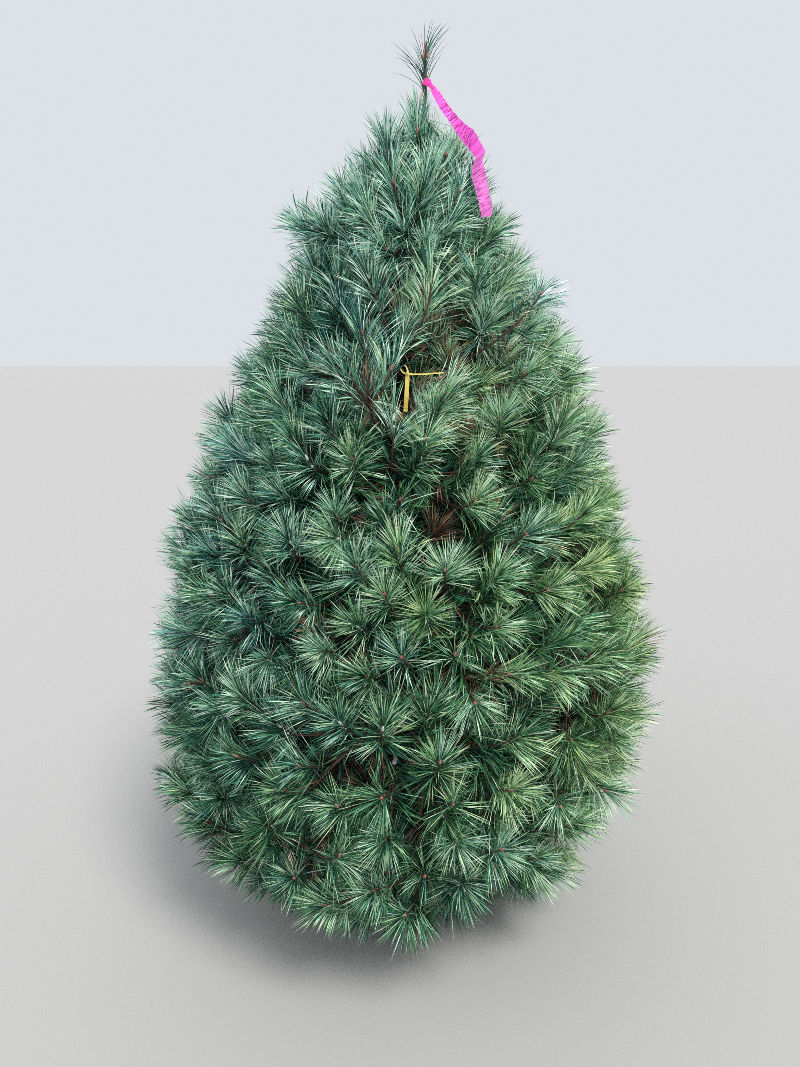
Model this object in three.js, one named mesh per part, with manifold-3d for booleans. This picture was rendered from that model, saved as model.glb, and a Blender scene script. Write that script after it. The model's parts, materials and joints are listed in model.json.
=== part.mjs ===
// A sheared pine about 2.2 m tall, rooted in the ground.
// Millimetres, +Z up. The origin is the centre of the flat cut at ground level.
// The trunk runs whole from the ground to the tip of the leader. Boughs leave it in
// whorls, one whorl for each year's growth, and each bough ends in its own mass of needles.
import * as THREE from "three";
import { mergeVertices } from "three/addons/utils/BufferGeometryUtils.js";
import Module from "manifold-3d";

// ---- driving sizes, in millimetres and degrees ----
const LEADER_TIP = 2165; // top of the leader's bud
const TRUNK_RADIUS = 41; // above the root flare
const TIP_RADIUS = 4;
const FLARE = 17; // how much the root flare adds at the ground
const FLARE_HEIGHT = 55;
const FLARE_LOBES = 5;
const TRUNK_SIDES = 12;
const TRUNK_RINGS = 12; // up to the leader
const LEADER_FOOT = 1810;
const LEADER_RINGS = [1900, 1985, 2050, 2105];
// The stem's line: a slight bow to -X at mid height, a lean to +X above that, and an upright leader.
const STEM_LINE = [
  [0, 0, 0],
  [-6, 5, 380],
  [-15, 8, 820],
  [-20, 3, 1250],
  [-14, -3, 1520],
  [3, -5, 1800],
  [19, -4, 1935],
  [31, -3, 2000],
  [40, -2, 2055],
  [41, -1, 2110],
  [39, 0, LEADER_TIP],
];
const GAP = 0.4; // left between pieces that meet
// The crown's outline, as the radius that the needle tips reach at each height:
// first towards -X, then towards +X.
const CROWN = [
  [12, 385, 345],
  [60, 450, 395],
  [120, 515, 450],
  [200, 580, 515],
  [300, 635, 590],
  [450, 676, 650],
  [600, 682, 668],
  [750, 668, 668],
  [900, 640, 645],
  [1050, 603, 602],
  [1200, 546, 545],
  [1350, 474, 486],
  [1500, 394, 416],
  [1650, 318, 334],
  [1800, 256, 246],
  [1900, 192, 182],
  [1990, 132, 88],
  [2070, 58, 50],
];
const LOWEST = 10; // the lowest needles end this far above the ground
const FACETS = 9; // added to the outline, because flat facets cut inside a curve
const DEPTH = 410; // how far in from its tips a mass reaches
// Whorls from the ground up: height on the trunk, the number of boughs, the azimuth of the first,
// the rise of the boughs for each unit outwards, how that steepens, and the bough's radius at the trunk.
const WHORLS = [
  { z: 280, n: 5, turn: -70, rise: -0.03, curl: 0.16, r: 12.5 },
  { z: 545, n: 5, turn: -95, rise: 0.12, curl: 0.16, r: 13 },
  { z: 820, n: 5, turn: -77, rise: 0.24, curl: 0.18, r: 12 },
  { z: 1100, n: 4, turn: -110, rise: 0.36, curl: 0.2, r: 10.5 },
  { z: 1380, n: 4, turn: -32, rise: 0.5, curl: 0.2, r: 9 },
  { z: 1660, n: 4, turn: -85, rise: 0.66, curl: 0.25, r: 7 },
];
const TURN_JITTER = 7; // degrees
const SEAM = 9; // open air between one mass and the next
const SQUARE = 0.64; // how far a mass fills the corners of its cell
const LUMPS = 0.07; // how uneven the masses are
const TIER_WANDER = [26, 12]; // how far the seams between tiers rise and fall, in long and short waves
const SIDE_WANDER = 0.15; // how far the seams between neighbours in a tier lean, in radians
// Openings where the crown shows its inside: azimuth, distance out and height of the middle,
// then the half sizes across, outwards and up.
const OPENINGS = [
  { turn: -73, out: 330, z: 1493, half: [66, 190, 44] },
  { turn: -80, out: 470, z: 1175, half: [52, 150, 36] },
  { turn: -66, out: 610, z: 815, half: [56, 150, 30] },
  { turn: -91, out: 610, z: 655, half: [38, 150, 66] },
  { turn: -25, out: 600, z: 725, half: [62, 170, 48] },
  { turn: -36, out: 540, z: 330, half: [60, 170, 58] },
  { turn: 64, out: 520, z: 1150, half: [60, 160, 44] },
  { turn: 152, out: 620, z: 760, half: [70, 160, 44] },
];
const SOCKET = 22; // how far a bough's end goes into its mass
const BOUGH_SIDES = 6;
const BOUGH_RINGS = 3;
// The tight whorl of upright shoots round the foot of the leader.
const TOP_WHORL = { z: 1925, n: 3, turn: -100, foot: 1902, top: 2054 };
// The tuft of needles round the end of the leader.
const LEADER_TUFT = { z: 2131, radius: 62, half: 74, shift: -19 };

const BARK = new THREE.MeshStandardMaterial({ color: 0x5a4a40, roughness: 0.9, metalness: 0 });
const NEEDLES = new THREE.MeshStandardMaterial({ color: 0x3c6a50, roughness: 0.6, metalness: 0 });
const NEEDLES_TOP = new THREE.MeshStandardMaterial({ color: 0x47776a, roughness: 0.6, metalness: 0 });

const wasm = await Module();
wasm.setup();

// ---- helpers ----
const RAD = Math.PI / 180;
const lerp = THREE.MathUtils.lerp;
const clamp = THREE.MathUtils.clamp;

function table(rows, z, column = 1) {
  if (z <= rows[0][0]) return rows[0][column];
  for (let i = 1; i < rows.length; i++)
    if (z <= rows[i][0]) {
      const share = (z - rows[i - 1][0]) / (rows[i][0] - rows[i - 1][0]);
      return lerp(rows[i - 1][column], rows[i][column], share);
    }
  return rows[rows.length - 1][column];
}

const stemPoints = new THREE.CatmullRomCurve3(
  STEM_LINE.map(([x, y, z]) => new THREE.Vector3(x, y, z)),
  false,
  "centripetal",
).getPoints(240);
const stemX = stemPoints.map((p) => [p.z, p.x]);
const stemY = stemPoints.map((p) => [p.z, p.y]);
const stemAt = (z) => new THREE.Vector2(table(stemX, z), table(stemY, z));
const stemRadius = (z) =>
  TIP_RADIUS + (TRUNK_RADIUS - TIP_RADIUS) * Math.pow(1 - clamp(z / LEADER_TIP, 0, 1), 1.02);

// A seeded number from 0 to 1 for each whole n.
const pick = (n) => {
  const s = Math.sin(n * 127.1 + 311.7) * 43758.5453;
  return s - Math.floor(s);
};
// Smooth unevenness from -1 to 1.
const uneven = (x, y, z, seed) =>
  (Math.sin(x * 2.9 + seed * 1.7) * Math.cos(y * 3.3 - seed * 2.3) +
    Math.sin(y * 4.1 + seed * 0.9) * Math.cos(z * 3.7 + seed) +
    Math.sin(z * 5.3 - seed * 1.3) * Math.cos(x * 4.7 + seed * 2.1)) /
  2.2;

function solidOf(geometry) {
  const bare = geometry.clone();
  bare.deleteAttribute("normal");
  bare.deleteAttribute("uv");
  const merged = mergeVertices(bare, 1e-3);
  return new wasm.Manifold(
    new wasm.Mesh({
      numProp: 3,
      vertProperties: new Float32Array(merged.attributes.position.array),
      triVerts: new Uint32Array(merged.index.array),
    }),
  );
}

function geometryOf(solid) {
  const m = solid.getMesh();
  const made = new THREE.BufferGeometry();
  const at = new Float32Array(m.numVert * 3);
  for (let i = 0; i < m.numVert; i++)
    at.set(m.vertProperties.subarray(i * m.numProp, i * m.numProp + 3), i * 3);
  made.setAttribute("position", new THREE.BufferAttribute(at, 3));
  made.setIndex(new THREE.BufferAttribute(m.triVerts, 1));
  made.computeVertexNormals();
  return made;
}

// Moves every vertex of a geometry by a function of its position.
function warp(geometry, move) {
  const p = geometry.attributes.position;
  const v = new THREE.Vector3();
  for (let i = 0; i < p.count; i++) {
    v.fromBufferAttribute(p, i);
    move(v);
    p.setXYZ(i, v.x, v.y, v.z);
  }
  return geometry;
}

// ---- the trunk: a lathe whose rings follow the stem's line, fluted into root lobes at the foot ----
function trunkGeometry(extra) {
  const profile = [new THREE.Vector2(0, 0)];
  const levels = Array.from({ length: TRUNK_RINGS }, (_, i) => LEADER_FOOT * Math.pow(i / (TRUNK_RINGS - 1), 1.35));
  for (const z of [...levels, ...LEADER_RINGS, LEADER_TIP])
    profile.push(new THREE.Vector2(stemRadius(z) + extra, z));
  const top = LEADER_TIP + extra;
  profile[profile.length - 1].y = top;
  profile.push(new THREE.Vector2(0, top));
  const g = new THREE.LatheGeometry(profile, TRUNK_SIDES);
  g.rotateX(Math.PI / 2);
  return warp(g, (v) => {
    const r = Math.hypot(v.x, v.y);
    if (r > 1e-6) {
      const a = Math.atan2(v.y, v.x);
      const foot = Math.exp(-v.z / FLARE_HEIGHT);
      const grown = r + FLARE * foot * (1 + 0.45 * Math.cos(FLARE_LOBES * a + 0.6));
      v.x *= grown / r;
      v.y *= grown / r;
    }
    const c = stemAt(v.z);
    v.x += c.x;
    v.y += c.y;
  });
}

// ---- a tier: the middle surface that its boughs lie on, as a height for each distance out ----
const middle = (w, r) => w.z + w.rise * r + (w.curl * r * r) / 1000;
const crownRadius = (z, a) =>
  FACETS + lerp(table(CROWN, z, 1), table(CROWN, z, 2), (1 + Math.cos(a)) / 2);

// The height of the seam between tier i and the tier above it.
function seamHeight(i, r, a) {
  const flat = (middle(WHORLS[i], r) + middle(WHORLS[i + 1], r)) / 2;
  const [long, short] = TIER_WANDER;
  const wander = long * Math.sin(3 * a + 1.9 * i + 0.4) + short * Math.sin(5 * a - 2.3 * i);
  return flat + wander * clamp((r - 80) / 200, 0, 1);
}

const topFoot = (r) => TOP_WHORL.foot + 0.3 * r;

function tierLimits(i, r, a) {
  const low = i === 0 ? LOWEST : seamHeight(i - 1, r, a) + SEAM / 2;
  const high =
    i === WHORLS.length - 1
      ? Math.min(middle(WHORLS[i], r) + 190, topFoot(r) - SEAM)
      : seamHeight(i, r, a) - SEAM / 2;
  return [low, high];
}

// The azimuth of seam k of a tier, leaning to and fro with height.
const sideSeam = (i, w, k, z) =>
  (w.turn + (360 / w.n) * (k - 0.5)) * RAD +
  SIDE_WANDER * Math.sin(z / 75 + 2.1 * i + 1.7 * (k % w.n));

// The distance out at which a line through the tier, at share v of its thickness, meets the crown's outline.
function reach(limits, v, a) {
  let near = 5;
  let far = 900;
  for (let k = 0; k < 40; k++) {
    const r = (near + far) / 2;
    const [low, high] = limits(r, a);
    if (r < crownRadius(lerp(low, high, (v + 1) / 2), a)) near = r;
    else far = r;
  }
  return near;
}

// A closed uneven solid that fills a cell: the azimuths between two seams, a tier's thickness
// and the depth from the crown's outline in.
function massGeometry({ left, right, limits, depth, inner, seed, centre }) {
  const g = new THREE.IcosahedronGeometry(1, 2);
  g.deleteAttribute("normal");
  g.deleteAttribute("uv");
  const ball = mergeVertices(g, 1e-4);
  return warp(ball, (p) => {
    const most = Math.max(Math.abs(p.x), Math.abs(p.y), Math.abs(p.z));
    const box = p.clone().divideScalar(most);
    p.lerp(box, SQUARE);
    const side = Math.min(1 - LUMPS * (1 + uneven(1.7 * p.x, 1.7 * p.y, 1.7 * p.z, seed)), 1);
    const front = 1 - 0.75 * LUMPS * (0.6 + uneven(2.3 * p.x, 2.3 * p.y, 2.3 * p.z, seed + 5));
    const across = p.x * side;
    const outward = p.y * front;
    const up = p.z * side;
    const place = (a) => {
      const out = reach(limits, up, a);
      const from = Math.max(inner, out - depth);
      const r = lerp(from, Math.max(out, from + 20), (outward + 1) / 2);
      const [low, high] = limits(r, a);
      return [r, lerp(low, high, (up + 1) / 2)];
    };
    const [r0, z0] = place((left(0) + right(0)) / 2);
    const margin = SEAM / 2 / Math.max(r0, 20);
    const a = lerp(right(z0) - margin, left(z0) + margin, (across + 1) / 2);
    const [r, height] = place(a);
    const z = Math.max(height, LOWEST);
    const c = centre(z);
    p.set(c.x + r * Math.cos(a), c.y + r * Math.sin(a), z);
  });
}

// ---- a bough: a tube along a rising curve, tapered from the trunk to its end ----
function boughGeometry(w, azimuth, end, extra) {
  const origin = stemAt(w.z);
  const points = [];
  for (let k = 0; k <= 8; k++) {
    const r = lerp(0, end + extra, k / 8);
    const z = middle(w, r);
    const c = stemAt(w.z);
    points.push(new THREE.Vector3(c.x + r * Math.cos(azimuth), c.y + r * Math.sin(azimuth), z));
  }
  const line = new THREE.CatmullRomCurve3(points);
  const ring = new THREE.Shape();
  for (let k = 0; k < BOUGH_SIDES; k++) {
    const a = (k / BOUGH_SIDES) * 2 * Math.PI;
    const x = (w.r + extra) * Math.cos(a);
    const y = (w.r + extra) * Math.sin(a);
    if (k) ring.lineTo(x, y);
    else ring.moveTo(x, y);
  }
  ring.closePath();
  const g = new THREE.ExtrudeGeometry(ring, { steps: BOUGH_RINGS, bevelEnabled: false, extrudePath: line });
  return warp(g, (v) => {
    const out = Math.hypot(v.x - origin.x, v.y - origin.y);
    const share = clamp(out / end, 0, 1);
    const thin = lerp(1, 0.6, share);
    const r = clamp(out, 0, end + extra);
    const on = new THREE.Vector3(
      origin.x + r * Math.cos(azimuth),
      origin.y + r * Math.sin(azimuth),
      middle(w, r),
    );
    v.sub(on).multiplyScalar(thin).add(on);
  });
}

// ---- an opening: a rounded hollow cut from the masses that it meets ----
function openingSolid({ turn, out, z, half }) {
  const g = new THREE.IcosahedronGeometry(1, 1);
  g.scale(half[1], half[0], half[2]);
  g.rotateZ(turn * RAD);
  g.translate(out * Math.cos(turn * RAD), out * Math.sin(turn * RAD), z);
  return solidOf(g);
}

// ---- the tree ----
const tree = new THREE.Group();
function add(name, geometry, material) {
  const mesh = new THREE.Mesh(geometry, material);
  mesh.name = name;
  tree.add(mesh);
}

const trunkCut = solidOf(trunkGeometry(GAP));
const openings = OPENINGS.map(openingSolid);
const opened = (mass) => openings.reduce((rest, hollow) => rest.subtract(hollow), mass);
add("trunk", geometryOf(solidOf(trunkGeometry(0))), BARK);

WHORLS.forEach((w, i) => {
  const limits = (r, a) => tierLimits(i, r, a);
  const letters = "abcdefgh";
  const tier = i + 1;
  // Lower masses hang round the axis of the whole crown; upper ones follow the stem's lean.
  const centre = (z) => stemAt(z).multiplyScalar(clamp((z - 1500) / 400, 0, 1));
  for (let k = 0; k < w.n; k++) {
    const seed = i * 10 + k + 1;
    const turn = (w.turn + (360 / w.n) * k + (pick(seed) - 0.5) * 2 * TURN_JITTER) * RAD;
    const inner = Math.max(stemRadius(w.z) + 24, 0.27 * table(CROWN, w.z));
    const mass = opened(solidOf(
      massGeometry({
        left: (z) => sideSeam(i, w, k, z),
        right: (z) => sideSeam(i, w, k + 1, z),
        limits,
        depth: DEPTH,
        inner,
        seed,
        centre,
      }),
    ));
    // The bough stops a little inside the mass's inner face.
    let end = inner;
    for (let r = inner; r < 500; r += 4) {
      const probe = new THREE.IcosahedronGeometry(2, 0);
      const c = stemAt(w.z);
      probe.translate(c.x + r * Math.cos(turn), c.y + r * Math.sin(turn), middle(w, r));
      if (mass.intersect(solidOf(probe)).volume() > 1) {
        end = r + SOCKET;
        break;
      }
    }
    const bough = solidOf(boughGeometry(w, turn, end, 0)).subtract(trunkCut);
    const socket = solidOf(boughGeometry(w, turn, end, GAP));
    add(`bough_tier${tier}_${letters[k]}`, geometryOf(bough), BARK);
    add(`needles_tier${tier}_${letters[k]}`, geometryOf(mass.subtract(socket)), i > 3 ? NEEDLES_TOP : NEEDLES);
  }
});

// The top whorl: three upright masses packed round the foot of the leader.
for (let k = 0; k < TOP_WHORL.n; k++) {
  const seed = 90 + k;
  const limits = (r) => [topFoot(r), TOP_WHORL.top];
  const seam = (j) => (TOP_WHORL.turn + (360 / TOP_WHORL.n) * (j - 0.5)) * RAD;
  const mass = massGeometry({
    left: () => seam(k),
    right: () => seam(k + 1),
    limits,
    depth: DEPTH,
    inner: stemRadius(TOP_WHORL.z) + 2.5,
    seed,
    centre: stemAt,
  });
  add(`needles_top_${"abc"[k]}`, geometryOf(solidOf(mass).subtract(trunkCut)), NEEDLES_TOP);
}

// The leader's tuft, with the leader standing in it.
const tuft = warp(mergeVertices((() => {
  const g = new THREE.IcosahedronGeometry(1, 2);
  g.deleteAttribute("normal");
  g.deleteAttribute("uv");
  return g;
})(), 1e-4), (p) => {
  const wide = 1 + 0.14 * uneven(p.x, p.y, p.z, 7);
  const open = lerp(0.45, 1, clamp((p.z + 1) / 1.3, 0, 1));
  const z = LEADER_TUFT.z + LEADER_TUFT.half * p.z;
  const c = stemAt(LEADER_TUFT.z);
  p.set(c.x + LEADER_TUFT.shift + p.x * LEADER_TUFT.radius * wide * open, c.y + p.y * LEADER_TUFT.radius * wide * open, z);
});
add("needles_leader", geometryOf(solidOf(tuft).subtract(trunkCut)), NEEDLES_TOP);

export default tree;
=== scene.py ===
"""A sheared pine about 2.2 m tall: its bark, twigs, needles and buds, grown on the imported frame. Metres, +Z up."""

import json
import math

import bpy
import numpy as np
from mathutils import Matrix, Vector

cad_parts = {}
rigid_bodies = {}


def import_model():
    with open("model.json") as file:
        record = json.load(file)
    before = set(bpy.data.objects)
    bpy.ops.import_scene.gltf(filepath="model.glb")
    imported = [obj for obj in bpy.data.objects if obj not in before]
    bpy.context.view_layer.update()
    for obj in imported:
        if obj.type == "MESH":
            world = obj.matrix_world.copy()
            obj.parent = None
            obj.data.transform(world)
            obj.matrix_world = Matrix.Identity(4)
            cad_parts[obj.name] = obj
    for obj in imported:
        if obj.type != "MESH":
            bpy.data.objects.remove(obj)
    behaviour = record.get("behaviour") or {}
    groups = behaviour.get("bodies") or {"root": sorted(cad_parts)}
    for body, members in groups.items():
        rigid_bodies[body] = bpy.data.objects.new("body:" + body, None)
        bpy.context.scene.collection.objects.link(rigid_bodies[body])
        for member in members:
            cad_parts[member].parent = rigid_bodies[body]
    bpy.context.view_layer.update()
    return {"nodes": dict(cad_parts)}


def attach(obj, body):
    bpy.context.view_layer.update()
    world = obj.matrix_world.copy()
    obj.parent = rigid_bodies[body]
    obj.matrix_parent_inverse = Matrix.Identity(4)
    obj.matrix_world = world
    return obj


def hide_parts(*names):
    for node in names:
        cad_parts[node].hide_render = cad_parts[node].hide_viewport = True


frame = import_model()
rng = np.random.default_rng(20)

# ---------------------------------------------------------------- driving sizes
# The crown's outline, as the radius that the needle tips reach at each height: first towards -X, then towards +X.
CROWN_Z = [0.012, 0.06, 0.12, 0.20, 0.30, 0.45, 0.60, 0.75, 0.90, 1.05, 1.20, 1.35, 1.50, 1.65, 1.80, 1.90, 1.99, 2.07]
CROWN_LEFT = [0.385, 0.450, 0.515, 0.580, 0.635, 0.676, 0.682, 0.668, 0.640, 0.603, 0.546, 0.474, 0.394, 0.318, 0.256, 0.192, 0.132, 0.058]
CROWN_RIGHT = [0.345, 0.395, 0.450, 0.515, 0.590, 0.650, 0.668, 0.668, 0.645, 0.602, 0.545, 0.486, 0.416, 0.334, 0.246, 0.182, 0.088, 0.050]
# Whorls from the ground up: height, number of boughs, azimuth of the first, rise, how the rise steepens, radius at the trunk.
WHORLS = [
    dict(z=0.280, n=5, turn=-70, rise=-0.03, curl=0.16, r=0.0125),
    dict(z=0.545, n=5, turn=-95, rise=0.12, curl=0.16, r=0.013),
    dict(z=0.820, n=5, turn=-77, rise=0.24, curl=0.18, r=0.012),
    dict(z=1.100, n=4, turn=-110, rise=0.36, curl=0.20, r=0.0105),
    dict(z=1.380, n=4, turn=-32, rise=0.50, curl=0.20, r=0.009),
    dict(z=1.660, n=4, turn=-85, rise=0.66, curl=0.25, r=0.007),
]
TURN_JITTER = 7
TIER_WANDER = (0.026, 0.012)
SIDE_WANDER = 0.15
TOP_FOOT = 1.902
TOP_WHORL_Z = 1.925
# Openings where the crown shows its inside: azimuth, distance out, height, then half sizes across, outwards and up.
OPENINGS = [
    (-73, 0.33, 1.493, 0.058, 0.15, 0.036),
    (-80, 0.47, 1.175, 0.052, 0.15, 0.036),
    (-66, 0.61, 0.815, 0.056, 0.15, 0.030),
    (-91, 0.61, 0.655, 0.038, 0.15, 0.066),
    (-25, 0.60, 0.725, 0.062, 0.17, 0.048),
    (-36, 0.54, 0.330, 0.060, 0.17, 0.058),
    (64, 0.52, 1.150, 0.060, 0.16, 0.044),
    (152, 0.62, 0.760, 0.070, 0.16, 0.044),
]
# The camera: 1.55 m up, 2.03 m in front of the trunk.
CAMERA = Vector((-0.0165, -2.03, 1.55))
PITCH = math.radians(14.6)
FOCAL = 800.0  # pixels, in a frame 800 wide and 1067 high
CENTRE = (400.0, 533.5)

# Buds that stand out at the front, by their place in the photograph's frame of 800 by 1067.
FRONT_BUDS = [
    (417, 133), (387, 152), (434, 409), (350, 172), (446, 156), (421, 194), (459, 191), (394, 184),
    (315, 217), (386, 249), (458, 260), (342, 316),
    (314, 372), (353, 460), (295, 440), (425, 441), (523, 375), (445, 393.5), (500, 420),
    (212, 597), (300, 603), (357, 566), (385, 595), (304, 703), (402, 658), (203, 681), (238, 757),
    (300, 766), (337, 517), (474, 501), (525, 535), (579, 518), (445, 571), (547, 590), (496, 627),
    (455, 655), (620, 591), (509, 674), (590, 656), (475, 703), (607, 713), (654, 637), (571, 740), (440, 763), (605, 790),
    (560, 806), (580, 857), (501, 850), (453, 805), (338, 806), (382, 798), (207, 823), (228, 860), (287, 790), (339, 856),
    (295, 878), (326, 905), (425, 876), (406, 915), (250, 500), (236, 640), (530, 480), (400, 500), (268, 660), (180, 760),
]
# Those that carry white resin.
FRONT_RESIN = [
    (404, 222), (486, 241), (281, 382), (307, 458), (198, 537), (218, 510), (338, 539), (557, 432), (290, 542),
    (340, 723), (383, 729), (280, 726), (358, 627), (583, 666),
]

# The lowest that shoots end at the front, in that frame: the foot of the crown hangs unevenly.
FOOT_X = [150, 205, 250, 290, 326, 370, 410, 440, 500, 560, 610, 660]
FOOT_Y = [800, 838, 868, 890, 910, 912, 922, 910, 880, 872, 838, 800]

# Recesses at the front, where dead needles show between the shoots: place in that frame and half sizes across and down.
RECESSES = [(347, 645, 17, 9), (446, 523, 32, 14), (540, 708, 14, 8), (343, 773, 24, 13), (411, 816, 10, 28), (405, 681, 28, 7), (290, 570, 16, 6), (500, 690, 16, 6)]

# The ribbon's lengths, as rows of left edge and right edge in that frame and depth in the frame.
RIBBON_UPPER = [
    (427.0, 85.4, 430.3, 80.4, -0.016), (430.6, 88.7, 433.7, 85.8, -0.020), (432.0, 93.7, 439.2, 90.8, -0.028), (439.9, 108.9, 449.3, 106.0, -0.045),
    (447.9, 119.7, 458.7, 117.6, -0.056), (454.4, 129.1, 466.7, 125.5, -0.064), (460.9, 139.2, 473.2, 129.8, -0.070), (465.9, 145.7, 477.1, 135.6, -0.074),
    (471.0, 151.5, 481.1, 143.6, -0.078), (475.3, 157.3, 485.9, 151.5, -0.080),
]
RIBBON_LOWER = [
    (475.3, 157.0, 485.6, 151.5, -0.083), (473.9, 162.3, 482.6, 159.4, -0.086), (472.0, 167.4, 482.8, 162.3, -0.090), (471.7, 173.9, 484.7, 168.1, -0.098),
    (472.4, 180.8, 486.6, 176.8, -0.106), (474.6, 186.2, 487.6, 183.3, -0.113), (476.5, 194.8, 489.1, 191.9, -0.125), (478.9, 202.8, 490.9, 202.8, -0.138),
    (481.1, 213.6, 491.9, 210.0, -0.151), (482.8, 217.9, 492.2, 215.3, -0.157),
]
RIBBON_KNOT = [(423.0, 80.6, 423.4, 85.0, -0.008), (426.0, 78.2, 426.0, 85.6, -0.015), (428.6, 78.4, 428.6, 85.6, -0.016), (430.8, 80.6, 430.4, 84.0, -0.012)]

# Limbs that stand out at the front: the height where each leaves the trunk or the limb that carries it, then rows of
# place in that frame and depth (inside the outline, or below zero: its y), its thickness at both ends in mm, and
# whether it ends in a bud, or in one with resin.
FRONT_LIMBS = [
    (1.340, [(459, 363, -0.27), (476, 354.5, -0.285), (489, 346, -0.285), (509, 331, -0.25), (522, 318, -0.205), (533, 306, -0.16), (540.5, 294.5, -0.12)], 6.6, 4.2, True),
    (1.230, [(383, 413, 0.120), (375, 408.5, 0.105), (368, 403.6, 0.098)], 7.0, 5.6, False),
    (1, [(368, 403.6, 0.098), (361, 402.8, 0.094), (354.8, 399.8, 0.090), (348, 391, 0.082), (343.9, 382.6, 0.076), (338, 370, 0.066)], 4.8, 3.8, True),
    (1, [(368, 403.6, 0.098), (361, 394, 0.086), (354, 384.2, 0.076), (350, 373.5, 0.066)], 4.6, 3.8, True),
    (1, [(368, 403.6, 0.098), (367.7, 396, 0.092), (368, 383, 0.084), (367.4, 368, 0.078), (366, 351, 0.072), (362.5, 334, 0.066)], 4.6, 3.6, True),
    (1, [(368, 403.6, 0.098), (376, 397.5, 0.090), (382, 390.4, 0.082), (386.7, 382.6, 0.074), (391, 370, 0.064)], 4.6, 3.8, True),
    (1.360, [(403, 362, 0.170), (408.4, 350, 0.140), (416.2, 336, 0.115), (425.5, 315.8, 0.090), (430.5, 296, 0.074), (432, 282.5, 0.066)], 5.6, 3.6, True),
    (1.450, [(392, 345, 0.160), (388, 332, 0.130), (383.5, 319, 0.110), (377, 299, 0.088), (370.5, 283, 0.074), (368, 275.5, 0.068)], 5.2, 3.8, "resin"),
    (1.240, [(391, 470, 0.120), (393, 447, 0.092), (394, 430, 0.078), (394, 417, 0.068)], 5.2, 4.0, "resin"),
]

STRAP = -0.30  # depth of the yellow strap in the frame
# Shoot ends behind it: place in that frame and depth.
BEHIND_STRAP = [(416, 388, -0.235), (434, 392, -0.245), (448, 366, -0.245), (428, 358, -0.210), (412, 402, -0.230), (440, 350, -0.225)]
RAD = math.pi / 180


def crown_radius(z, a):
    t = (1 + np.cos(a)) / 2
    return np.interp(z, CROWN_Z, CROWN_LEFT) * (1 - t) + np.interp(z, CROWN_Z, CROWN_RIGHT) * t


def middle(w, r):
    return w["z"] + w["rise"] * r + w["curl"] * r * r


def seam_height(i, r, a):
    flat = (middle(WHORLS[i], r) + middle(WHORLS[i + 1], r)) / 2
    wander = TIER_WANDER[0] * math.sin(3 * a + 1.9 * i + 0.4) + TIER_WANDER[1] * math.sin(5 * a - 2.3 * i)
    return flat + wander * min(max((r - 0.08) / 0.2, 0), 1)


def side_seam(i, w, k, z):
    return (w["turn"] + 360 / w["n"] * (k - 0.5)) * RAD + SIDE_WANDER * math.sin(z / 0.075 + 2.1 * i + 1.7 * (k % w["n"]))


def pick(n):
    s = math.sin(n * 127.1 + 311.7) * 43758.5453
    return s - math.floor(s)


def bough_turn(i, k):
    w = WHORLS[i]
    return (w["turn"] + 360 / w["n"] * k + (pick(i * 10 + k + 1) - 0.5) * 2 * TURN_JITTER) * RAD


# The stem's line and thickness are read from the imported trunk, ring by ring.
trunk_points = np.array([tuple(v.co) for v in frame["nodes"]["trunk"].data.vertices])
ring_keys = np.round(trunk_points[:, 2], 3)
STEM_Z, STEM_X, STEM_Y, STEM_R = [], [], [], []
for level in np.unique(ring_keys):
    ring = trunk_points[ring_keys == level]
    lo, hi = ring.min(0), ring.max(0)
    if hi[0] - lo[0] > 0.003:
        STEM_Z.append(float(level))
        STEM_X.append(float(lo[0] + hi[0]) / 2)
        STEM_Y.append(float(lo[1] + hi[1]) / 2)
        STEM_R.append(float(hi[0] - lo[0] + hi[1] - lo[1]) / 4)
STEM_X[0] = STEM_Y[0] = 0.0


def stem_at(z):
    return np.stack([np.interp(z, STEM_Z, STEM_X), np.interp(z, STEM_Z, STEM_Y)], -1)


def crown_centre(z):
    return stem_at(z) * np.clip((np.asarray(z) - 1.5) / 0.4, 0, 1)[..., None]


def unit(v):
    return v / (np.linalg.norm(v, axis=-1, keepdims=True) + 1e-12)


def lengths_along(path):
    return np.concatenate([[0], np.cumsum(np.linalg.norm(np.diff(path, axis=0), axis=1))])


def in_opening(p, grow=1.0, margin=0.0, openings=OPENINGS):
    for turn, out, z, across, deep, high in openings:
        across, high = across + margin, high + margin * 0.7
        a = turn * RAD
        d = p - np.array([out * math.cos(a), out * math.sin(a), z])
        o = d[..., 0] * math.cos(a) + d[..., 1] * math.sin(a)
        s = -d[..., 0] * math.sin(a) + d[..., 1] * math.cos(a)
        if (o / (deep * grow)) ** 2 + (s / (across * grow)) ** 2 + (d[..., 2] / (high * grow)) ** 2 < 1:
            return True
    return False


# ---------------------------------------------------------------- where the shoots end
def ray(px, py):
    """The direction in space of a point of the photograph's frame."""
    x = (px - CENTRE[0]) / FOCAL
    y = (CENTRE[1] - py) / FOCAL
    return unit(np.array([x, math.cos(PITCH) + y * math.sin(PITCH), -math.sin(PITCH) + y * math.cos(PITCH)]))


def project(points):
    """Where points fall in the photograph's frame, and how far in front of the camera they are."""
    d = np.asarray(points) - np.array(CAMERA)
    depth = d[..., 1] * math.cos(PITCH) - d[..., 2] * math.sin(PITCH)
    up = d[..., 1] * math.sin(PITCH) + d[..., 2] * math.cos(PITCH)
    return CENTRE[0] + FOCAL * d[..., 0] / depth, CENTRE[1] - FOCAL * up / depth, depth


# Lines of sight that needles leave free: for each half pixel, the depth of what shows there.
SIGHT = np.zeros((2134, 1600), dtype=np.float32)
RIBBON_SIGHT = np.zeros((2134, 1600), dtype=np.float32)  # the same for the ribbon and the strap, which nothing crosses
RECESS_SIGHT = np.zeros((2134, 1600), dtype=np.float32)  # the same for the recesses, which some needles cross


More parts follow.
